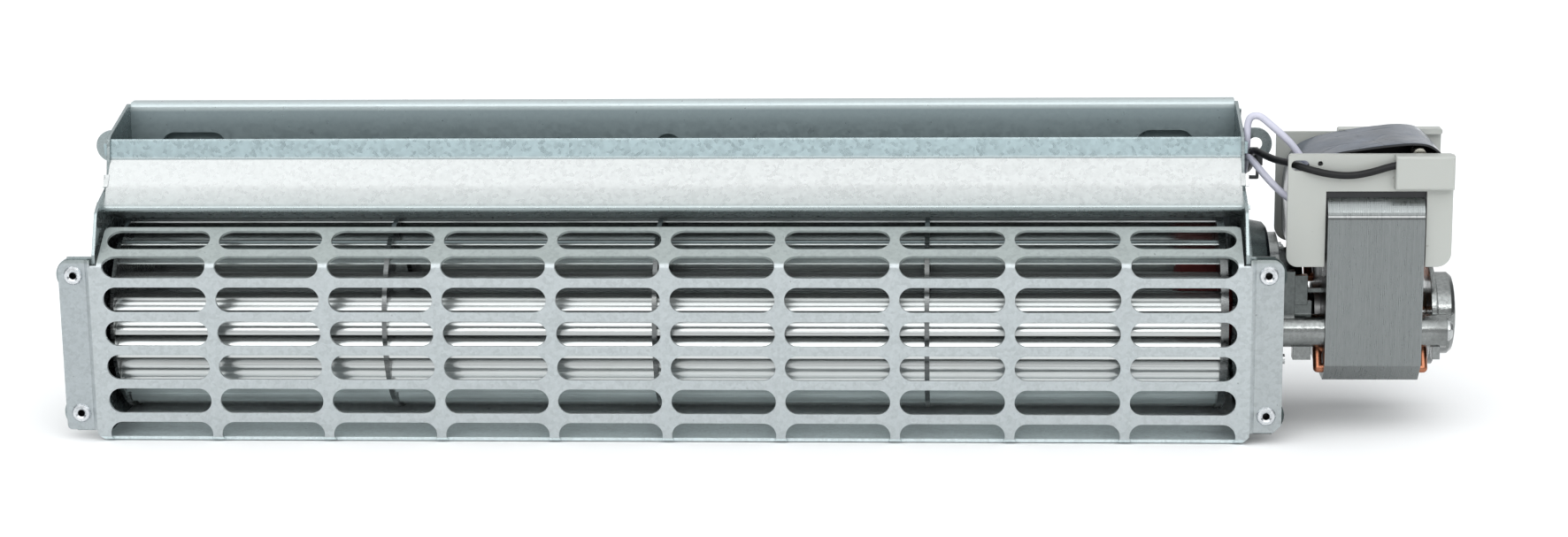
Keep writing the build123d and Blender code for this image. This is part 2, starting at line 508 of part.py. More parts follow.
def bracket_right():
    b = None
    prof = turned([(241.2, 6.0), (241.2, 16.5), (242.8, 16.5), (243.6, 13.1), (247.8, 13.1), (249.0, 12.1), (249.4, 10.8), (249.4, 0.0), (248.6, 0.0), (248.6, 6.0)])
    b = prof
    for y in SCREW_Y:
        b = b + cyl_x(5.3, STACK_X1, 245.2, y, SCREW_Z)
        s = 1 if y > AXIS_Y else -1
        b = b + box(241.2, 243.4, min(y, AXIS_Y + s * 12), max(y, AXIS_Y + s * 12), SCREW_Z - 3.6, SCREW_Z + 3.6)
        b = b + box(241.0, 243.4, y - 2.2, y + 2.2, 23.6, SCREW_Z)
    b = b - cyl_x(6.0, 240.0, 248.6)
    for y in SCREW_Y:
        b = b - cyl_x(SCREW_R, 150, 260, y, SCREW_Z)
    return b


bl = bracket_left()
print('bracket pieces', len(bl.solids()), len(bracket_right().solids()))
keep("motor_bracket_left", solid(max(bl.solids(), key=lambda s: s.volume)))
br = bracket_right()
keep("motor_bracket_right", solid(max(br.solids(), key=lambda s: s.volume)))
keep("motor_bush_left", solid(turned([(195.0, SHAFT_R + 0.04), (195.0, 6.0), (203.2, 6.0), (203.2, SHAFT_R + 0.04)])))
keep("motor_bush_right", solid(turned([(241.6, SHAFT_R + 0.04), (241.6, 6.0), (247.4, 6.0), (247.4, SHAFT_R + 0.04)])))

screws, nuts = [], []
for y in SCREW_Y:
    shank = cyl_x(SCREW_R, 186.2, 245.2, y, SCREW_Z)
    head = turned([(245.2, 0), (245.2, 3.3), (246.4, 3.3), (247.3, 2.4), (247.6, 0)])
    head = Pos(0, y - AXIS_Y, SCREW_Z - AXIS_Z) * head
    cross = Pos(247.6, y, SCREW_Z) * Box(1.6, 0.7, 3.4) + Pos(247.6, y, SCREW_Z) * Box(1.6, 3.4, 0.7)
    screws.append((shank + head - cross).solids()[0])
    nut = yz(Pos(y, SCREW_Z) * (RegularPolygon(3.2, 6) - Circle(SCREW_R)), 187.4, xo + DISH_D - 1.0)
    nuts.append(nut.solids()[0])
keep("stack_screws", Compound(children=screws))
keep("stack_nuts", Compound(children=nuts))
right2 = NODES["side_plate_right"]
for y in SCREW_Y:
    right2 = right2 - cyl_x(SCREW_R, INNER_HALF + DISH_D - 2, xo + DISH_D + 2, y, SCREW_Z)
keep("side_plate_right", solid(right2))

ms = []
for a in (90, 210, 330):
    y = AXIS_Y + 21.5 * math.cos(math.radians(a))
    z = AXIS_Z + 21.5 * math.sin(math.radians(a))
    x1 = INNER_HALF + DISH_D
    m = turned([(x1 - 1.7, 0), (x1 - 1.7, 1.6), (x1 - 1.0, 2.7), (x1, 2.9), (x1, 1.6), (x1 + 6.0, 1.6), (x1 + 6.0, 0)])
    m = Pos(0, y - AXIS_Y, z - AXIS_Z) * m
    ms.append(m.solids()[0])
keep("motor_mount_screws", Compound(children=ms))

# ---- wiring, held all the way ----
# three way terminal block behind the outlet wall, seated on the pressed recess
BLK = (150.4, 172.4, 58.45, 65.6, 80.0, 91.0)
blk = box(*BLK)
blk = fillet(blk.edges().filter_by(Axis.X), 0.7)
for x in (154.2, 161.4, 168.6):
    blk = blk - hole_y(x, 86.6, 2.0, BLK[3] - 3.0, BLK[3] + 1)
keep("terminal_block", solid(blk))


def lead(points, radii, r=LEAD_R):
    line = FilletPolyline(*points, radius=radii)
    sec = Plane(origin=line @ 0, z_dir=line % 0) * Circle(r)
    return line, sweep(sec, path=line)


def best_radii(points):
    """0.45 of the shorter run divided by the tangent of half the turn, at every corner."""
    v = [Vector(*p) for p in points]
    out = []
    for i in range(1, len(v) - 1):
        a, b = v[i] - v[i - 1], v[i + 1] - v[i]
        t = math.radians(a.get_angle(b))
        out.append(0.45 * min(a.length, b.length) / math.tan(t / 2))
    return out


LEADS = {
    "black_lead": [(229.0, 12.0, 86.9), (225.6, 12.0, 86.3), (220.4, 11.8, 84.6), (213.6, 11.7, 83.3), (206.6, 11.8, 83.9), (201.0, 12.6, 85.2),
                   (197.3, 15.2, 86.0), (194.8, 19.4, 86.2), (192.0, 24.4, 85.9), (189.2, 29.4, 86.3), (186.6, 34.0, 87.0), (186.0, 38.8, 86.5),
                   (186.0, 44.0, 83.6), (185.9, 50.4, 79.4), (185.6, 56.8, 76.8), (184.2, 61.2, 75.7), (180.4, 63.6, 75.2), (175.0, 63.9, 75.2),
                   (170.8, 62.8, 76.2), (168.9, 61.4, 78.0), (168.6, 60.6, 80.0)],
    "white_lead_upper": [(200.8, 31.0, 84.6), (198.3, 31.2, 88.6), (194.4, 31.8, 92.6), (190.2, 32.6, 96.2), (186.9, 33.4, 98.9), (184.0, 34.0, 98.2),
                         (183.3, 34.0, 94.8), (183.3, 33.2, 91.6), (183.3, 34.2, 88.8), (183.3, 38.0, 87.4), (183.5, 43.6, 83.6), (183.5, 50.0, 78.4), (183.6, 56.6, 75.0),
                         (183.2, 61.9, 73.2), (180.6, 65.0, 72.4), (175.4, 66.0, 72.4), (168.6, 65.2, 73.6), (163.6, 63.4, 75.6), (161.6, 61.6, 77.8),
                         (161.4, 60.6, 80.0)],
    "white_lead_lower": [(198.0, 27.0, 72.2), (195.0, 27.6, 73.9), (191.6, 29.0, 77.0), (188.2, 31.2, 80.6), (185.3, 34.0, 84.0), (183.7, 37.6, 85.0),
                         (183.5, 43.0, 80.6), (183.5, 49.6, 75.0), (183.6, 57.0, 71.2), (183.2, 64.4, 69.4), (180.6, 68.0, 68.9), (174.4, 68.8, 69.2),
                         (166.6, 67.8, 70.6), (158.8, 65.6, 73.2), (154.8, 63.0, 76.0), (154.2, 61.2, 78.2), (154.2, 60.6, 80.0)],
}
for name, pts in LEADS.items():
    radii = best_radii(pts)
    line, tube = lead(pts, radii)
    ideal = math.pi * LEAD_R ** 2 * line.length
    print(name, "length", round(line.length, 1), "volume", round(tube.volume, 1), "ideal", round(ideal, 1), "radii", [round(r, 1) for r in radii])
    keep(name, solid(tube))

# cable tie: a band through two slots of the side plate and round the leads, with its head
band = box(INNER_HALF - 0.9, 188.1, TIE_Y0, TIE_Y1, TIE_Z[0], TIE_Z[3])
tie = fillet(band.edges().filter_by(Axis.Y), 0.5) - box(INNER_HALF, 187.3, TIE_Y0 - 1, TIE_Y1 + 1, TIE_Z[1], TIE_Z[2])
keep("cable_tie", solid(tie + box(187.4, 189.2, TIE_Y0 - 0.6, TIE_Y1 + 0.3, 80.9, 84.7)))

# ---- write ----
os.makedirs("parts", exist_ok=True)
for name, shape in NODES.items():
    moved = [Pos(0, -AXIS_Y, 0) * s for s in shape.solids()]
    export_step(moved[0] if len(moved) == 1 else Compound(children=moved), os.path.join("parts", name + ".step"))
print(len(NODES), "nodes written")
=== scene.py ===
import bpy
import bmesh
import json
import math
import random
from mathutils import Matrix, Vector, noise


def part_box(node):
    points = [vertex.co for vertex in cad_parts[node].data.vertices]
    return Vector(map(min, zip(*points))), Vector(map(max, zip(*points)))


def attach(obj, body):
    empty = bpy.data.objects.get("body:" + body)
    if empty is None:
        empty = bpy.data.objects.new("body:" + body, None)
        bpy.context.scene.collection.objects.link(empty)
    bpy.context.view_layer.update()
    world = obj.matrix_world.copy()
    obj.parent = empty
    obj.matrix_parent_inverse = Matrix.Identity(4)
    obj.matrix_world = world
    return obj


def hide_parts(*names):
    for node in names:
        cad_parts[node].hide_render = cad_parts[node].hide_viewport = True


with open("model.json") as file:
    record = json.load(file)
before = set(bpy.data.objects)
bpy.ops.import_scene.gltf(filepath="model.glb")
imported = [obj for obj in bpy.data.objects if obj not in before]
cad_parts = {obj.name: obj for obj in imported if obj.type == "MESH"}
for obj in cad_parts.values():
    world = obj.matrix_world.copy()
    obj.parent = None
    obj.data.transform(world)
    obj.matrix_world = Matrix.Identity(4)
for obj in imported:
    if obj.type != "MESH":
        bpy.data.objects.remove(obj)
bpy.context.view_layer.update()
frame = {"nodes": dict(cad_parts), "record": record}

nodes = frame["nodes"]
scene = bpy.context.scene
random.seed(7)
MM = 0.001


# ---------------------------------------------------------------- node helpers
class Mat:
    """A small wrapper that builds one node material."""

    def __init__(self, name, color, metallic, rough, spec=0.5, coat=0.0, coat_rough=0.1, ior=1.5):
        self.m = bpy.data.materials.new(name)
        self.m.use_nodes = True
        self.nt = self.m.node_tree
        self.nt.nodes.clear()
        self.out = self.nt.nodes.new("ShaderNodeOutputMaterial")
        self.b = self.nt.nodes.new("ShaderNodeBsdfPrincipled")
        self.nt.links.new(self.b.outputs[0], self.out.inputs[0])
        self.b.inputs["Base Color"].default_value = (*color, 1)
        self.b.inputs["Metallic"].default_value = metallic
        self.b.inputs["Roughness"].default_value = rough
        self.b.inputs["Specular IOR Level"].default_value = spec
        self.b.inputs["Coat Weight"].default_value = coat
        self.b.inputs["Coat Roughness"].default_value = coat_rough
        self.b.inputs["IOR"].default_value = ior
        self.tc = self.nt.nodes.new("ShaderNodeTexCoord")
        self.obj = self.tc.outputs["Object"]
        self.m.diffuse_color = (*color, 1)

    def link(self, a, b):
        self.nt.links.new(a, b)

    def scaled(self, sx, sy, sz, src=None, rot=(0, 0, 0)):
        n = self.nt.nodes.new("ShaderNodeMapping")
        n.inputs["Scale"].default_value = (sx, sy, sz)
        n.inputs["Rotation"].default_value = rot
        self.link(src or self.obj, n.inputs["Vector"])
        return n.outputs[0]

    def noise(self, scale, detail=2.0, rough=0.5, vec=None, distort=0.0):
        n = self.nt.nodes.new("ShaderNodeTexNoise")
        n.inputs["Scale"].default_value = scale
        n.inputs["Detail"].default_value = detail
        n.inputs["Roughness"].default_value = rough
        n.inputs["Distortion"].default_value = distort
        self.link(vec or self.obj, n.inputs["Vector"])
        return n.outputs["Fac"]

    def cells(self, scale, vec=None, out="Color", feature="F1", rnd=1.0):
        n = self.nt.nodes.new("ShaderNodeTexVoronoi")
        n.feature = feature
        n.inputs["Scale"].default_value = scale
        n.inputs["Randomness"].default_value = rnd
        self.link(vec or self.obj, n.inputs["Vector"])
        return n.outputs[out]

    def ramp(self, fac, stops, interp="LINEAR"):
        n = self.nt.nodes.new("ShaderNodeValToRGB")
        n.color_ramp.interpolation = interp
        e = n.color_ramp.elements
        while len(e) > 1:
            e.remove(e[-1])
        e[0].position, e[0].color = stops[0][0], (*stops[0][1], 1) if not isinstance(stops[0][1], (int, float)) else (stops[0][1],) * 3 + (1,)
        for p, c in stops[1:]:
            x = e.new(p)
            x.color = (*c, 1) if not isinstance(c, (int, float)) else (c, c, c, 1)
        self.link(fac, n.inputs["Fac"])
        return n.outputs["Color"]

    def rng(self, val, a, b, c, d, clamp=True):
        n = self.nt.nodes.new("ShaderNodeMapRange")
        n.clamp = clamp
        for k, v in zip(("From Min", "From Max", "To Min", "To Max"), (a, b, c, d)):
            n.inputs[k].default_value = v
        self.link(val, n.inputs["Value"])
        return n.outputs[0]

    def math(self, op, a, b=None, clamp=False):
        n = self.nt.nodes.new("ShaderNodeMath")
        n.operation = op
        n.use_clamp = clamp
        for i, v in enumerate((a, b)):
            if v is None:
                continue
            if isinstance(v, (int, float)):
                n.inputs[i].default_value = v
            else:
                self.link(v, n.inputs[i])
        return n.outputs[0]

    def mix(self, fac, a, b, blend="MIX"):
        n = self.nt.nodes.new("ShaderNodeMix")
        n.data_type = "RGBA"
        n.blend_type = blend
        for i, v in ((0, fac), (6, a), (7, b)):
            if isinstance(v, (int, float)) and i == 0:
                n.inputs[i].default_value = v
            elif isinstance(v, tuple):
                n.inputs[i].default_value = (*v, 1)
            elif isinstance(v, (int, float)):
                n.inputs[i].default_value = (v, v, v, 1)
            else:
                self.link(v, n.inputs[i])
        return n.outputs[2]

    def split(self, src=None):
        n = self.nt.nodes.new("ShaderNodeSeparateXYZ")
        self.link(src or self.obj, n.inputs[0])
        return n.outputs

    def zone(self, out, lo, hi, a=0.0, b=1.0):
        """0 to 1 over a span of one object coordinate (out is 0, 1 or 2), in mm."""
        return self.rng(self.split()[out], lo * 0.001, hi * 0.001, a, b)

    def color(self, src):
        self.link(src, self.b.inputs["Base Color"])

    def rough(self, src):
        self.link(src, self.b.inputs["Roughness"])

    def bump(self, height, strength, dist, bevel=0.0):
        n = self.nt.nodes.new("ShaderNodeBump")
        n.inputs["Strength"].default_value = strength
        n.inputs["Distance"].default_value = dist
        self.link(height, n.inputs["Height"])
        if bevel:
            v = self.nt.nodes.new("ShaderNodeBevel")
            v.samples = 4
            v.inputs["Radius"].default_value = bevel
            self.link(v.outputs[0], n.inputs["Normal"])
        self.link(n.outputs[0], self.b.inputs["Normal"])


def galvanised(name, base, rough, spangle=0.05, stain=0.05, bevel=0.00022, metallic=0.75, zones=(), lines=(), patches=(), speck=0.5, chalk=None):
    """Zinc coated sheet: fine spangle, faint cloudy stains, tiny dark specks. zones are (coordinate, from, to, tint) blends."""
    k = Mat(name, base, metallic, rough)
    dark = tuple(c * (1 - 2.2 * spangle) for c in base)
    light = tuple(min(1.0, c * (1 + 1.6 * spangle)) for c in base)
    wob = k.noise(260.0, 2.0)
    grain = k.noise(1500.0, 3.0, 0.62)
    cell = k.cells(900.0, out="Color")
    cellv = k.split(cell)[0]
    t = k.math("ADD", k.math("MULTIPLY", grain, 0.62), k.math("MULTIPLY", cellv, 0.38))
    col = k.ramp(t, [(0.28, dark), (0.50, base), (0.74, light)])
    cloud = k.noise(30.0, 4.0, 0.55, vec=k.scaled(0.45, 1, 1))
    col = k.mix(k.rng(cloud, 0.45, 0.75, 0.0, stain), col, tuple(c * 0.72 for c in base))
    sp = k.noise(640.0, 1.0, 0.4)
    col = k.mix(k.rng(sp, 0.765, 0.80, 0.0, speck), col, tuple(c * 0.35 for c in base))
    for i, lo, hi, tint in zones:
        col = k.mix(k.zone(i, lo, hi), col, k.mix(1.0, col, tint, "MULTIPLY"))
    for (i, lo, hi), (j, lo2, hi2), tint in patches:
        both = k.math("MULTIPLY", k.zone(i, lo, hi), k.zone(j, lo2, hi2))
        col = k.mix(both, col, k.mix(1.0, col, tint, "MULTIPLY"))
    for i, at, half, tint in lines:
        band = k.math("MULTIPLY", k.zone(i, at - half, at - half * 0.4), k.zone(i, at + half, at + half * 0.4))
        col = k.mix(band, col, k.mix(1.0, col, tint, "MULTIPLY"))
    k.color(col)
    rr = k.math("ADD", k.rng(cellv, 0, 1, rough - 0.05, rough + 0.06), k.rng(wob, 0.3, 0.7, -0.03, 0.04))
    k.rough(rr)
    if chalk:
        # the coating is duller and paler over this span
        k.link(k.zone(chalk[0], chalk[1], chalk[2], metallic, chalk[3]), k.b.inputs["Metallic"])
    k.bump(k.math("ADD", grain, k.math("MULTIPLY", wob, 0.8)), 0.22, 0.00003, bevel)
    return k.m


def rolled(name, base, rough, tint=(0.62, 0.62, 0.56), stain=0.4, metallic=1.0):
    """Bright rolled strip: long streaks along X, faint stains."""
    k = Mat(name, base, metallic, rough)
    streak = k.noise(1.0, 4.0, 0.6, vec=k.scaled(9, 2400, 2400))
    fine = k.noise(1.0, 2.0, 0.5, vec=k.scaled(60, 6000, 6000))
    blot = k.noise(70.0, 3.0, 0.6)
    col = k.ramp(streak, [(0.30, tuple(c * 0.80 for c in base)), (0.52, base), (0.72, tuple(min(1, c * 1.10) for c in base))])
    col = k.mix(k.rng(blot, 0.52, 0.75, 0.0, stain), col, tint)
    k.color(col)
    k.rough(k.math("ADD", k.rng(streak, 0.3, 0.7, rough - 0.05, rough + 0.07), k.rng(fine, 0.3, 0.7, -0.02, 0.03)))
    k.bump(k.math("ADD", streak, fine), 0.16, 0.00002)
    return k.m


def cast(name, base, rough):
    k = Mat(name, base, 1.0, rough)
    g = k.noise(900.0, 4.0, 0.6)
    big = k.noise(110.0, 3.0, 0.55)
    col = k.ramp(g, [(0.3, tuple(c * 0.78 for c in base)), (0.55, base), (0.75, tuple(min(1, c * 1.15) for c in base))])
    col = k.mix(k.rng(big, 0.48, 0.75, 0.0, 0.6), col, tuple(c * 0.5 for c in base))
    # painted shade: the flat walls between the pillars, above z 38 mm, are darkened as shade between the pillars
    shaded_wall_mask = k.math("MULTIPLY", k.zone(0, 193.6, 194.2), k.zone(0, 208.0, 207.6))
    high = k.zone(2, 37.4, 38.2)
    col = k.mix(k.math("MULTIPLY", shaded_wall_mask, high), col, k.mix(1.0, col, (0.42, 0.44, 0.44), "MULTIPLY"))
    k.color(col)
    k.rough(k.rng(big, 0.3, 0.7, rough - 0.07, rough + 0.12))
    k.bump(k.math("ADD", g, k.math("MULTIPLY", big, 2.2)), 0.45, 0.00012, 0.0004)
    return k.m


def steel(name, base, rough, bevel=0.0002, turned=None):
    k = Mat(name, base, 1.0, rough)
    g = k.noise(1400.0, 3.0, 0.6)
    b = k.noise(160.0, 3.0)
    col = k.ramp(b, [(0.3, tuple(c * 0.86 for c in base)), (0.6, base)])
    k.color(col)
    k.rough(k.rng(g, 0.3, 0.7, rough - 0.05, rough + 0.07))
    h = g
    if turned == "x":
        h = k.noise(1.0, 2.0, 0.5, vec=k.scaled(5200, 30, 30))
    k.bump(h, 0.15, 0.00002, bevel)
    return k.m


def plastic(name, base, rough, spec=0.5, smudge=(0.45, 0.42, 0.36), amount=0.16, coat=0.0, grain=1800.0, bevel=0.0003, sub=0.0):
    k = Mat(name, base, 0.0, rough, spec, coat)
    big = k.noise(55.0, 4.0, 0.6)
    fine = k.noise(grain, 2.0, 0.5)
    speck = k.noise(420.0, 1.0, 0.4)
    col = k.mix(k.rng(big, 0.52, 0.78, 0.0, amount), base, smudge)
    col = k.mix(k.rng(speck, 0.775, 0.80, 0.0, 0.5), col, tuple(c * 0.5 for c in smudge))
    k.color(col)
    k.rough(k.rng(big, 0.3, 0.7, rough - 0.05, rough + 0.08))
    k.bump(fine, 0.10, 0.00003, bevel)
    if sub:
        k.b.inputs["Subsurface Weight"].default_value = sub
        k.b.inputs["Subsurface Radius"].default_value = (0.0012, 0.0011, 0.0009)
    return k.m


# ---------------------------------------------------------------- materials
M = {}
M["galvanised_sheet"] = galvanised("galvanised_sheet", (0.480, 0.530, 0.550), 0.40)
# grille_sheet: painted light on the base return, painted 1.35 times lighter below z 1.2 mm in place of light coming in
# through the slots; above z 58 mm and beyond x ±183 mm the sheet is darker
M["grille_sheet"] = galvanised("grille_sheet", (0.462, 0.500, 0.510), 0.40, zones=((2, 57.6, 58.2, (0.78, 0.80, 0.77)), (2, 1.4, 1.2, (1.35, 1.42, 1.42)), (0, 183.0, 184.6, (0.86, 0.86, 0.86)),
                                 (0, -183.0, -184.6, (0.84, 0.85, 0.86))), chalk=(2, 1.4, 1.2, 0.35))
M["side_sheet"] = galvanised("side_sheet", (0.30, 0.345, 0.350), 0.28, spangle=0.04, stain=0.3, metallic=0.95, patches=(((0, 183.6, 184.4), (2, 72.0, 70.0), (0.20, 0.22, 0.215)),))
# scroll_sheet: painted shade on the upper inside, darker above z 62 to 72 mm; a painted highlight on the top fold, 1.9
# times lighter above z 98 mm; painted light on the bottom, 1.5 times lighter below z 14 to 6 mm, in place of light
# coming in through the slots
M["scroll_sheet"] = galvanised("scroll_sheet", (0.62, 0.665, 0.68), 0.34, spangle=0.02, stain=0.06, metallic=0.55, speck=0.12, zones=((2, 62.0, 72.0, (0.40, 0.46, 0.47)), (2, 97.2, 98.2, (1.9, 1.75, 1.7)), (2, 14.0, 6.0, (1.5, 1.5, 1.48))), chalk=(2, 40.0, 10.0, 0.0))
# guide_sheet: the upright band above z 87 mm carries a bluish painted reflection, the plate towards the nose below z 79
# mm is painted darker and bluer as a painted reflection, the crease at z 86.5 mm carries a dark painted shadow line and
# the top hem at z 92.35 mm a bright painted highlight line
M["guide_sheet"] = galvanised("guide_sheet", (0.565, 0.582, 0.578), 0.30, spangle=0.024, stain=0.07, metallic=0.88, speck=0.16,
                              zones=((2, 86.2, 87.2, (0.60, 0.73, 0.77)), (2, 79.0, 72.5, (0.80, 0.84, 0.84)), (2, 74.2, 73.0, (0.70, 0.74, 0.75))),
                              lines=((2, 86.5, 0.35, (0.42, 0.46, 0.47)), (2, 92.35, 0.35, (1.25, 1.2, 1.18))))
M["blade_aluminium"] = rolled("blade_aluminium", (0.63, 0.655, 0.650), 0.20, tint=(0.52, 0.53, 0.50), stain=0.25, metallic=0.93)
M["disc_sheet"] = rolled("disc_sheet", (0.17, 0.178, 0.178), 0.26, tint=(0.25, 0.25, 0.23))
M["rivet_aluminium"] = steel("rivet_aluminium", (0.66, 0.68, 0.70), 0.22, 0.00015)
M["sintered_bronze"] = steel("sintered_bronze", (0.42, 0.27, 0.13), 0.5)
M["black_rubber"] = plastic("black_rubber", (0.018, 0.018, 0.019), 0.6, 0.35, (0.10, 0.10, 0.10), 0.4)
M["red_rubber"] = plastic("red_rubber", (0.16, 0.018, 0.016), 0.55, 0.4, (0.07, 0.02, 0.015), 0.4)
M["copper"] = steel("copper", (0.40, 0.165, 0.095), 0.30)
M["copper_wire"] = steel("copper_wire", (0.42, 0.17, 0.08), 0.35)
M["bobbin_plastic"] = plastic("bobbin_plastic", (0.43, 0.445, 0.42), 0.42, 0.45, (0.46, 0.44, 0.38), 0.20, sub=0.06)
M["fuse_metal"] = steel("fuse_metal", (0.72, 0.70, 0.62), 0.28)
M["die_cast_zinc"] = cast("die_cast_zinc", (0.25, 0.262, 0.258), 0.17)
M["zinc_plated_steel"] = steel("zinc_plated_steel", (0.50, 0.52, 0.52), 0.26)
M["black_insulation"] = plastic("black_insulation", (0.006, 0.0065, 0.007), 0.40, 0.28, (0.05, 0.05, 0.05), 0.35, bevel=0.0)
M["white_insulation"] = plastic("white_insulation", (0.58, 0.58, 0.68), 0.34, 0.5, (0.40, 0.40, 0.46), 0.25, bevel=0.0)
M["tie_nylon"] = plastic("tie_nylon", (0.055, 0.057, 0.060), 0.38, 0.5)
M["shaft_steel"] = steel("shaft_steel", (0.55, 0.56, 0.56), 0.22, turned="x")
M["rotor_steel"] = steel("rotor_steel", (0.30, 0.30, 0.30), 0.35, turned="x")
# near black for the inside and the front and side end faces of the coil wrap: painted shade
M["tape_inside_painted_shade"] = plastic("tape_inside_painted_shade", (0.008, 0.009, 0.011), 0.35, 0.5, (0.02, 0.02, 0.02), 0.3, bevel=0.0)


def rivet_mat():
    """Satin aluminium; the mandrel hole in the middle is a dark disc of painted shade."""
    k = Mat("rivet_head", (0.66, 0.68, 0.70), 1.0, 0.24)
    o = k.split()
    dx = k.math("SUBTRACT", k.math("ABSOLUTE", o[0]), 0.188)
    dz = k.math("MINIMUM", k.math("ABSOLUTE", k.math("SUBTRACT", o[2], 0.0089)), k.math("ABSOLUTE", k.math("SUBTRACT", o[2], 0.0539)))
    r = k.math("SQRT", k.math("ADD", k.math("MULTIPLY", dx, dx), k.math("MULTIPLY", dz, dz)))
    g = k.noise(900.0, 3.0, 0.6)
    col = k.ramp(g, [(0.3, (0.50, 0.52, 0.54)), (0.6, (0.68, 0.70, 0.72))])
    # painted shade: a near-black disc of radius about 1.1 mm at each rivet centre stands for the hole
    col = k.mix(k.rng(r, 0.00103, 0.00118, 1.0, 0.0), col, (0.012, 0.012, 0.012))
    k.color(col)
    k.b.inputs["Metallic"].default_value = 0.9
    k.rough(k.rng(g, 0.3, 0.7, 0.18, 0.32))
    k.bump(g, 0.2, 0.00003, 0.00012)
    return k.m


M["rivet_head"] = rivet_mat()


def lamination_mat():
    k = Mat("lamination_steel", (0.27, 0.28, 0.285), 1.0, 0.33)
    v = k.noise(1.0, 1.0, 0.5, vec=k.scaled(2600, 2, 2))
    w = k.noise(1.0, 3.0, 0.6, vec=k.scaled(1500, 260, 260))
    big = k.noise(60.0, 3.0, 0.55)
    col = k.ramp(v, [(0.30, (0.205, 0.220, 0.220)), (0.52, (0.228, 0.245, 0.245)), (0.72, (0.252, 0.270, 0.268))])
    col = k.mix(k.rng(w, 0.35, 0.70, 0.0, 0.5), col, (0.29, 0.305, 0.305))
    col = k.mix(k.rng(big, 0.5, 0.8, 0.0, 0.15), col, (0.18, 0.19, 0.185))
    # painted highlight: a bright line at z 70.3 mm on the upper front of the stack, with a dark painted shade line just
    # below it at z 69.65 mm
    edge = k.math("MULTIPLY", k.zone(2, 70.0, 70.15), k.zone(2, 70.6, 70.45))
    col = k.mix(k.math("MULTIPLY", edge, 0.8), col, (0.85, 0.86, 0.86))
    painted_shade_line = k.math("MULTIPLY", k.zone(2, 69.3, 69.5), k.zone(2, 69.95, 69.8))
    col = k.mix(k.math("MULTIPLY", painted_shade_line, 0.6), col, (0.07, 0.07, 0.07))
    k.color(col)
    k.rough(k.rng(w, 0.3, 0.7, 0.24, 0.40))
    k.bump(k.math("ADD", v, w), 0.22, 0.00004)
    return k.m


def tape_mat():
    """Clear film over woven tape, pulled tight in places and creased; the right end carries a painted highlight and the
    creases carry painted shade.
    """
    k = Mat("insulating_tape", (0.20, 0.225, 0.275), 0.0, 0.16, 0.42, 0.0, 0.05)
    big = k.noise(70.0, 3.0, 0.55, distort=0.5)
    weave_a = k.noise(1.0, 1.0, 0.5, vec=k.scaled(1700, 90, 1700))
    col = k.ramp(big, [(0.30, (0.026, 0.038, 0.058)), (0.55, (0.048, 0.066, 0.098)), (0.75, (0.090, 0.115, 0.160))])
    # painted highlight: the right end, x 228 to 240 mm, is painted lighter
    col = k.mix(k.zone(0, 228.0, 240.0), col, (0.20, 0.22, 0.26))
    col = k.mix(k.rng(weave_a, 0.4, 0.7, 0.0, 0.25), col, (0.06, 0.07, 0.09))
    # painted shade in the creases: thin dark lines along a cell pattern, also used in the bump
    crease = k.cells(70.0, out="Distance", feature="DISTANCE_TO_EDGE", vec=k.scaled(1.0, 0.7, 1.0))
    sel = k.noise(60.0, 1.0, 0.5)
    line = k.math("MULTIPLY", k.rng(crease, 0.0, 0.014, 1.0, 0.0), k.rng(sel, 0.55, 0.60, 0.0, 1.0))
    col = k.mix(k.math("MULTIPLY", line, 0.85), col, (0.012, 0.014, 0.018))
    k.color(col)
    k.rough(k.rng(big, 0.3, 0.7, 0.10, 0.22))
    k.bump(k.math("SUBTRACT", k.math("MULTIPLY", big, 0.5), line), 0.4, 0.0002)
    return k.m


M["lamination_steel"] = lamination_mat()
M["insulating_tape"] = tape_mat()


def paint(node, mat):
    o = nodes[node]
    if not o.material_slots:
        o.data.materials.append(M[mat])
    for s in o.material_slots:
        s.material = M[mat]


slot_of = {s["node"]: s["material_slot"] for s in frame["record"]["subparts"]}
special = {"inlet_grille": "grille_sheet", "side_plate_right": "side_sheet", "side_plate_left": "side_sheet", "grille_rivets": "rivet_head", "scroll_back_plate": "scroll_sheet", "middle_discs": "disc_sheet", "end_disc_left": "disc_sheet", "end_disc_right": "disc_sheet"}
for n in nodes:
    paint(n, special.get(n, slot_of[n]))


# ---------------------------------------------------------------- added pieces
def add(name, mesh, mat, body):
    o = bpy.data.objects.new(name, mesh)
    scene.collection.objects.link(o)
    if mat:
        o.data.materials.clear()
        o.data.materials.append(M[mat])
    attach(o, body)
    return o


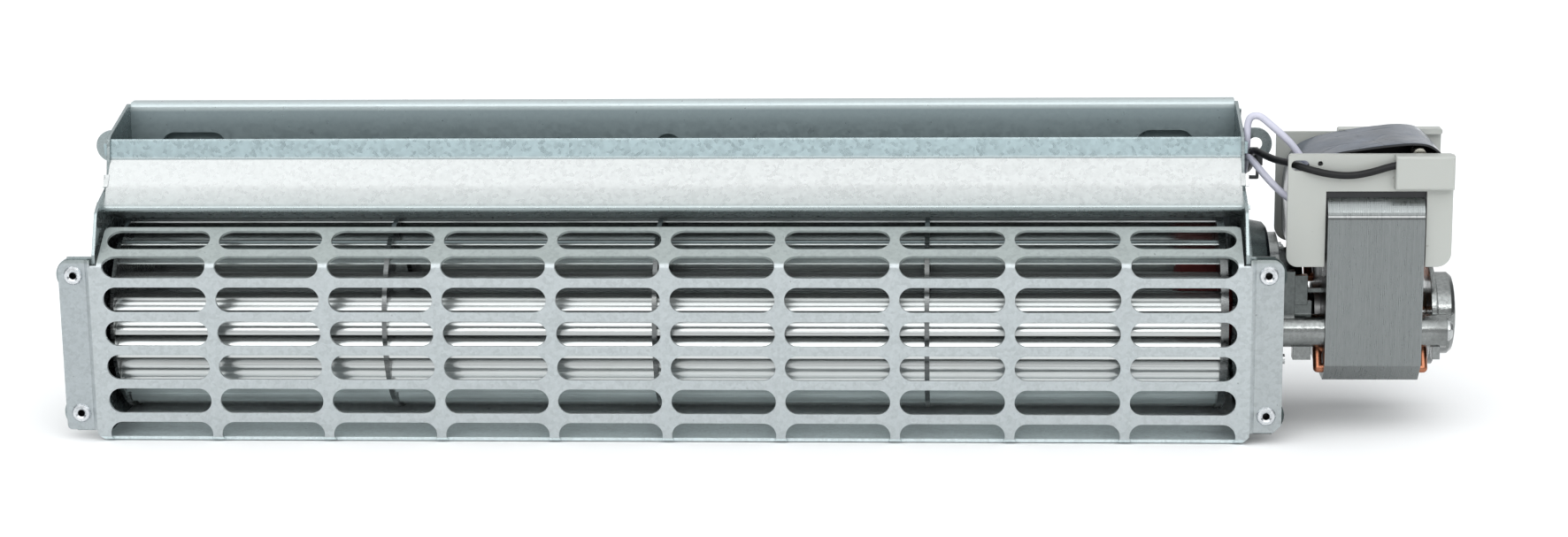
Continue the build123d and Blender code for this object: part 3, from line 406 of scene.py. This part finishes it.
# stack of single laminations, with a shallow groove between each pair and edges that are not quite in line
def laminated():
    src = nodes["stator_stack"]
    x0, x1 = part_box("stator_stack")[0].x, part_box("stator_stack")[1].x
    bm = bmesh.new()
    bm.from_mesh(src.data)
    bmesh.ops.remove_doubles(bm, verts=bm.verts, dist=1e-6)
    cap = [f for f in bm.faces if all(abs(v.co.x - x1) < 1e-6 for v in f.verts)]
    capset = set(cap)
    rim = [e for e in bm.edges if sum(1 for f in e.link_faces if f in capset) == 1]
    nxt = {}
    for e in rim:
        f = next(f for f in e.link_faces if f in capset)
        for loop in f.loops:
            if loop.edge is e:
                nxt[loop.vert.index] = loop.link_loop_next.vert.index
    bm.verts.ensure_lookup_table()
    co = {v.index: Vector((v.co.y, v.co.z)) for v in bm.verts}
    loops, seen = [], set()
    for s in list(nxt):
        if s in seen:
            continue
        ring, c = [], s
        while c not in seen:
            seen.add(c)
            ring.append(c)
            c = nxt[c]
        loops.append(ring)
    out = bmesh.new()
    # caps
    made = {}
    for x, flip in ((x1, False), (x0, True)):
        made[x] = {}
        for f in cap:
            vs = []
            for v in f.verts:
                if v.index not in made[x]:
                    made[x][v.index] = out.verts.new((x, v.co.y, v.co.z))
                vs.append(made[x][v.index])
            out.faces.new(vs[::-1] if flip else vs)
    count = 60
    t = (x1 - x0) / count
    rnd = random.Random(3)
    shift = [rnd.uniform(-0.012, 0.004) * MM for _ in range(count)]
    for ring in loops:
        n = len(ring)
        nor = []
        for i in range(n):
            a, b, c = co[ring[i - 1]], co[ring[i]], co[ring[(i + 1) % n]]
            d1, d2 = (b - a), (c - b)
            d1.normalize(); d2.normalize()
            m = Vector((d1.y + d2.y, -(d1.x + d2.x)))
            m = m.normalized() if m.length > 1e-9 else Vector((d1.y, -d1.x))
            nor.append(m)
        prev = [made[x0][i] for i in ring]
        for k in range(count):
            xa = x0 + k * t
            for dx, dep in ((0.06 * t, shift[k]), (0.90 * t, shift[k]), (0.98 * t, -0.05 * MM)):
                if k == count - 1 and dep == -0.05 * MM:
                    cur = [made[x1][i] for i in ring]
                else:
                    cur = [out.verts.new((xa + dx, co[i].x + nor[j].x * dep, co[i].y + nor[j].y * dep)) for j, i in enumerate(ring)]
                for j in range(n):
                    q = (prev[j], prev[(j + 1) % n], cur[(j + 1) % n], cur[j])
                    try:
                        out.faces.new(q)
                    except ValueError:
                        pass
                prev = cur
    bmesh.ops.recalc_face_normals(out, faces=out.faces)
    me = bpy.data.meshes.new("stator_laminations")
    out.to_mesh(me)
    out.free()
    bm.free()
    return me


stack = add("stator_laminations", laminated(), "lamination_steel", "housing")
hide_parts("stator_stack")


# tape: one wrapped skin that stands off the front flange, with soft bulges and thin creases, over an inside painted
# near black as shade
TAPE = [(196.4, 58.0), (196.0, 70.0), (196.8, 79.6), (199.2, 84.9), (203.6, 88.0), (210.0, 90.1), (218.0, 91.5), (226.0, 92.5), (233.0, 93.0),
        (238.4, 92.3), (242.2, 89.2), (243.8, 83.5), (244.2, 76.0), (244.2, 66.0), (243.2, 58.0)]


def smooth_line(pts, per):
    out = []
    for i in range(len(pts) - 1):
        p0, p1, p2, p3 = (Vector(pts[max(i - 1, 0)]), Vector(pts[i]), Vector(pts[i + 1]), Vector(pts[min(i + 2, len(pts) - 1)]))
        for j in range(per):
            t = j / per
            out.append(0.5 * ((2 * p1) + (p2 - p0) * t + (2 * p0 - 5 * p1 + 4 * p2 - p3) * t * t + (3 * p1 - p0 - 3 * p2 + p3) * t ** 3))
    out.append(Vector(pts[-1]))
    return out


def wrapped_tape():
    line = smooth_line(TAPE, 14)
    n = len(line)
    nor = []
    for i in range(n):
        d = (line[min(i + 1, n - 1)] - line[max(i - 1, 0)]).normalized()
        nor.append(Vector((-d.y, d.x)))
    if nor[n // 2].y < 0:
        nor = [-v for v in nor]
    y0, y1, yp = 15.6, 49.9, 31.0
    rows = 70
    ys = [y0 + (y1 - y0) * j / rows for j in range(rows + 1)]
    verts, faces, mats = [], [], []

    def put(x, y, z):
        verts.append((x * MM, (y - 36.0) * MM, z * MM))
        return len(verts) - 1

    def face(ids, m):
        faces.append(ids)
        mats.append(m)

    creases = [((207, 28), (221, 24)), ((221, 24), (226, 33)), ((226, 33), (238, 30)), ((212, 40), (230, 44)), ((203, 20), (212, 27)), ((233, 19), (240, 26)), ((216, 17), (224, 20))]

    def crease(x, y):
        best = 9.0
        for (ax, ay), (bx, by) in creases:
            a, b, p = Vector((ax, ay)), Vector((bx, by)), Vector((x, y))
            t = max(0.0, min(1.0, (p - a).dot(b - a) / (b - a).length_squared))
            w = noise.noise(Vector((x * 0.35, y * 0.35, 0.0))) * 0.9
            best = min(best, abs((p - (a + (b - a) * t)).length + w * 0.4))
        return math.exp(-(best / 0.28) ** 2)

    outer = []
    for i in range(n):
        col = []
        x, z = line[i]
        for y in ys:
            fade = min(1.0, (y - y0) / 2.0 + 0.15)
            d = 0.22 * noise.noise(Vector((x * 0.10, y * 0.07, z * 0.10))) + 0.05 * noise.noise(Vector((x * 0.5, y * 0.2, z * 0.5)))
            d = d * fade - 0.10 * crease(x, y) * fade - 0.10
            col.append(put(x + nor[i].x * d, y, z + nor[i].y * d))
        outer.append(col)
    for i in range(n - 1):
        for j in range(rows):
            face((outer[i][j], outer[i][j + 1], outer[i + 1][j + 1], outer[i + 1][j]), 0)
    za = 86.9
    a = next(i for i in range(n) if line[i].y >= za)
    b = max(i for i in range(n) if line[i].y >= za)
    inner = {}
    for i in range(a, b + 1):
        x, z = line[i]
        q = (x - nor[i].x * 0.75, max(za, z - nor[i].y * 0.75))
        inner[i] = (put(q[0], y0, q[1]), put(q[0], yp, q[1]))
    for i in range(a, b):
        face((outer[i][0], outer[i + 1][0], inner[i + 1][0], inner[i][0]), 1)
        face((inner[i][0], inner[i + 1][0], inner[i + 1][1], inner[i][1]), 1)
    face([inner[i][1] for i in range(a, b + 1)], 1)
    face((inner[a][0], inner[b][0], inner[b][1], inner[a][1]), 1)
    face([outer[i][0] for i in range(0, a + 1)] + [inner[a][0], inner[b][0]] + [outer[i][0] for i in range(b, n)], 1)
    face([outer[i][rows] for i in range(n)], 0)
    face([outer[0][j] for j in range(rows + 1)] + [outer[n - 1][j] for j in range(rows, -1, -1)], 1)
    me = bpy.data.meshes.new("coil_wrap")
    me.from_pydata(verts, [], faces)
    me.materials.append(M["insulating_tape"])
    me.materials.append(M["tape_inside_painted_shade"])
    for p, m in zip(me.polygons, mats):
        p.material_index = m
        p.use_smooth = len(p.vertices) == 4 and m == 0
    bm = bmesh.new()
    bm.from_mesh(me)
    bmesh.ops.recalc_face_normals(bm, faces=bm.faces)
    bm.to_mesh(me)
    bm.free()
    return me


tape = add("coil_wrap", wrapped_tape(), None, "housing")
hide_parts("coil_tape")


# leads as smooth flexible tubes on the CAD routes
ROUTES = {
    "black_lead": [(229.0, 12.0, 86.9), (225.6, 12.0, 86.3), (220.4, 11.8, 84.6), (213.6, 11.7, 83.3), (206.6, 11.8, 83.9), (201.0, 12.6, 85.2),
                   (197.3, 15.2, 86.0), (194.8, 19.4, 86.2), (192.0, 24.4, 85.9), (189.2, 29.4, 86.3), (186.6, 34.0, 87.0), (186.0, 38.8, 86.5),
                   (186.0, 44.0, 83.6), (185.9, 50.4, 79.4), (185.6, 56.8, 76.8), (184.2, 61.2, 75.7), (180.4, 63.6, 75.2), (175.0, 63.9, 75.2),
                   (170.8, 62.8, 76.2), (168.9, 61.4, 78.0), (168.6, 60.6, 80.0)],
    "white_lead_upper": [(200.8, 31.0, 84.6), (198.3, 31.2, 88.6), (194.4, 31.8, 92.6), (190.2, 32.6, 96.2), (186.9, 33.4, 98.9), (184.0, 34.0, 98.2),
                         (183.3, 34.0, 94.8), (183.3, 33.2, 91.6), (183.3, 34.2, 88.8), (183.3, 38.0, 87.4), (183.5, 43.6, 83.6), (183.5, 50.0, 78.4), (183.6, 56.6, 75.0),
                         (183.2, 61.9, 73.2), (180.6, 65.0, 72.4), (175.4, 66.0, 72.4), (168.6, 65.2, 73.6), (163.6, 63.4, 75.6), (161.6, 61.6, 77.8),
                         (161.4, 60.6, 80.0)],
    "white_lead_lower": [(198.0, 27.0, 72.2), (195.0, 27.6, 73.9), (191.6, 29.0, 77.0), (188.2, 31.2, 80.6), (185.3, 34.0, 84.0), (183.7, 37.6, 85.0),
                         (183.5, 43.0, 80.6), (183.5, 49.6, 75.0), (183.6, 57.0, 71.2), (183.2, 64.4, 69.4), (180.6, 68.0, 68.9), (174.4, 68.8, 69.2),
                         (166.6, 67.8, 70.6), (158.8, 65.6, 73.2), (154.8, 63.0, 76.0), (154.2, 61.2, 78.2), (154.2, 60.6, 80.0)],
}
for name, pts in ROUTES.items():
    cu = bpy.data.curves.new(name + "_smooth", "CURVE")
    cu.dimensions = "3D"
    sp = cu.splines.new("NURBS")
    sp.points.add(len(pts) - 1)
    for p, (x, y, z) in zip(sp.points, pts):
        p.co = (x * MM, (y - 36.0) * MM, z * MM, 1)
    sp.order_u = 3
    sp.use_endpoint_u = True
    sp.resolution_u = 10
    cu.bevel_depth = 1.15 * MM
    cu.bevel_resolution = 6
    cu.use_fill_caps = True
    mat = "black_insulation" if name.startswith("black") else "white_insulation"
    tmp = bpy.data.objects.new("lead_work", cu)
    scene.collection.objects.link(tmp)
    bpy.context.view_layer.update()
    me = bpy.data.meshes.new_from_object(tmp.evaluated_get(bpy.context.evaluated_depsgraph_get()))
    bpy.data.objects.remove(tmp)
    bpy.data.curves.remove(cu)
    me.name = name + "_smooth"
    for p in me.polygons:
        p.use_smooth = len(p.vertices) == 4
    o = add(name + "_smooth", me, mat, "housing")
    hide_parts(name)


# ---------------------------------------------------------------- floor, light, camera
def floor():
    me = bpy.data.meshes.new("floor")
    s = 9.0
    me.from_pydata([(-s, -s, -0.0004), (s, -s, -0.0004), (s, s, -0.0004), (-s, s, -0.0004)], [], [(0, 1, 2, 3)])
    o = bpy.data.objects.new("floor", me)
    scene.collection.objects.link(o)
    k = Mat("floor_paper", (0.965, 0.968, 0.97), 0.0, 0.9, 0.1)
    me.materials.append(k.m)


floor()

world = bpy.data.worlds.new("studio")
scene.world = world
world.use_nodes = True
wn = world.node_tree
wn.nodes.clear()
wo = wn.nodes.new("ShaderNodeOutputWorld")
bg = wn.nodes.new("ShaderNodeBackground")
tc = wn.nodes.new("ShaderNodeTexCoord")
sep = wn.nodes.new("ShaderNodeSeparateXYZ")
wn.links.new(tc.outputs["Generated"], sep.inputs[0])


def wramp(src, lo, hi, stops):
    """A grey ramp over one direction component."""
    m = wn.nodes.new("ShaderNodeMapRange")
    for k_, v_ in zip(("From Min", "From Max", "To Min", "To Max"), (lo, hi, 0.0, 1.0)):
        m.inputs[k_].default_value = v_
    wn.links.new(src, m.inputs["Value"])
    r = wn.nodes.new("ShaderNodeValToRGB")
    e = r.color_ramp.elements
    while len(e) > 1:
        e.remove(e[-1])
    for i, (p, c) in enumerate(stops):
        x = e[0] if i == 0 else e.new(p)
        x.position = p
        x.color = (*c, 1) if isinstance(c, tuple) else (c, c, c, 1)
    wn.links.new(m.outputs[0], r.inputs["Fac"])
    return r.outputs["Color"]


def wmix(fac, a, b, blend="MIX"):
    n = wn.nodes.new("ShaderNodeMix")
    n.data_type = "RGBA"
    n.blend_type = blend
    n.clamp_result = False
    if isinstance(fac, float):
        n.inputs[0].default_value = fac
    else:
        wn.links.new(fac, n.inputs[0])
    for i, v in ((6, a), (7, b)):
        if isinstance(v, tuple):
            n.inputs[i].default_value = (*v, 1)
        else:
            wn.links.new(v, n.inputs[i])
    return n.outputs[2]


# front: bright strip at the horizon, a dark band, then a large softbox; back: even; both sides darker
FRONT = [(0.0, (0.36, 0.37, 0.38)), (0.08, 0.36), (0.15, 0.36), (0.24, 0.30), (0.42, 0.34), (0.52, 0.98), (0.62, 1.10), (0.86, 1.10), (0.95, 0.62), (1.0, 0.56)]
BACK = [(0.0, 0.33), (0.35, 0.35), (0.65, 0.50), (1.0, 0.58)]
front = wramp(sep.outputs[2], 0.0, 1.0, FRONT)
back = wramp(sep.outputs[2], 0.0, 1.0, BACK)
side = wramp(sep.outputs[0], -1.0, 1.0, [(0.0, 0.34), (0.12, 0.50), (0.24, 1.0), (0.76, 1.0), (0.88, 0.40), (1.0, 0.25)])
which = wramp(sep.outputs[1], -1.0, 1.0, [(0.0, 0.0), (0.46, 0.0), (0.60, 1.0), (1.0, 1.0)])
sky = wmix(which, front, back)
sky = wmix(1.0, sky, side, "MULTIPLY")
sky = wmix(1.0, sky, (0.985, 1.0, 1.01), "MULTIPLY")
wn.links.new(sky, bg.inputs["Color"])
bg.inputs["Strength"].default_value = 2.0
wn.links.new(bg.outputs[0], wo.inputs[0])


def area(name, loc, target, sx, sy, radiance, color=(1, 1, 1)):
    """A softbox whose strength is given as radiance."""
    L = bpy.data.lights.new(name, "AREA")
    L.shape = "RECTANGLE"
    L.size, L.size_y = sx, sy
    L.energy = radiance * math.pi * sx * sy
    L.color = color
    o = bpy.data.objects.new(name, L)
    o.location = loc
    d = Vector(target) - Vector(loc)
    o.rotation_euler = d.to_track_quat("-Z", "Y").to_euler()
    scene.collection.objects.link(o)
    return o


area("softbox_low", (0.0, -2.1, 0.42), (0, 0, 0.06), 2.4, 0.42, 0.2, (1.0, 1.0, 1.0))
area("softbox_key", (0.0, -1.55, 0.95), (0, 0, 0.04), 2.2, 0.16, 6.0, (1.0, 1.0, 1.0))

cam = bpy.data.cameras.new("camera")
co = bpy.data.objects.new("camera", cam)
scene.collection.objects.link(co)
yaw, el, roll = math.radians(3.41), math.radians(12.75), math.radians(-0.74)
F = Vector((-math.sin(yaw) * math.cos(el), math.cos(yaw) * math.cos(el), -math.sin(el)))
R = F.cross(Vector((0, 0, 1))).normalized()
U = R.cross(F)
R2 = R * math.cos(roll) + U * math.sin(roll)
U2 = -R * math.sin(roll) + U * math.cos(roll)
co.matrix_world = Matrix(((R2.x, U2.x, -F.x, 0.09419), (R2.y, U2.y, -F.y, -0.98528), (R2.z, U2.z, -F.z, 0.27172), (0, 0, 0, 1)))
cam.sensor_fit = "HORIZONTAL"
cam.sensor_width = 36.0
cam.lens = 3532.42 / 1772 * 36.0
cam.clip_start = 0.05
scene.camera = co
scene.view_settings.view_transform = "Standard"
scene.view_settings.look = "None"
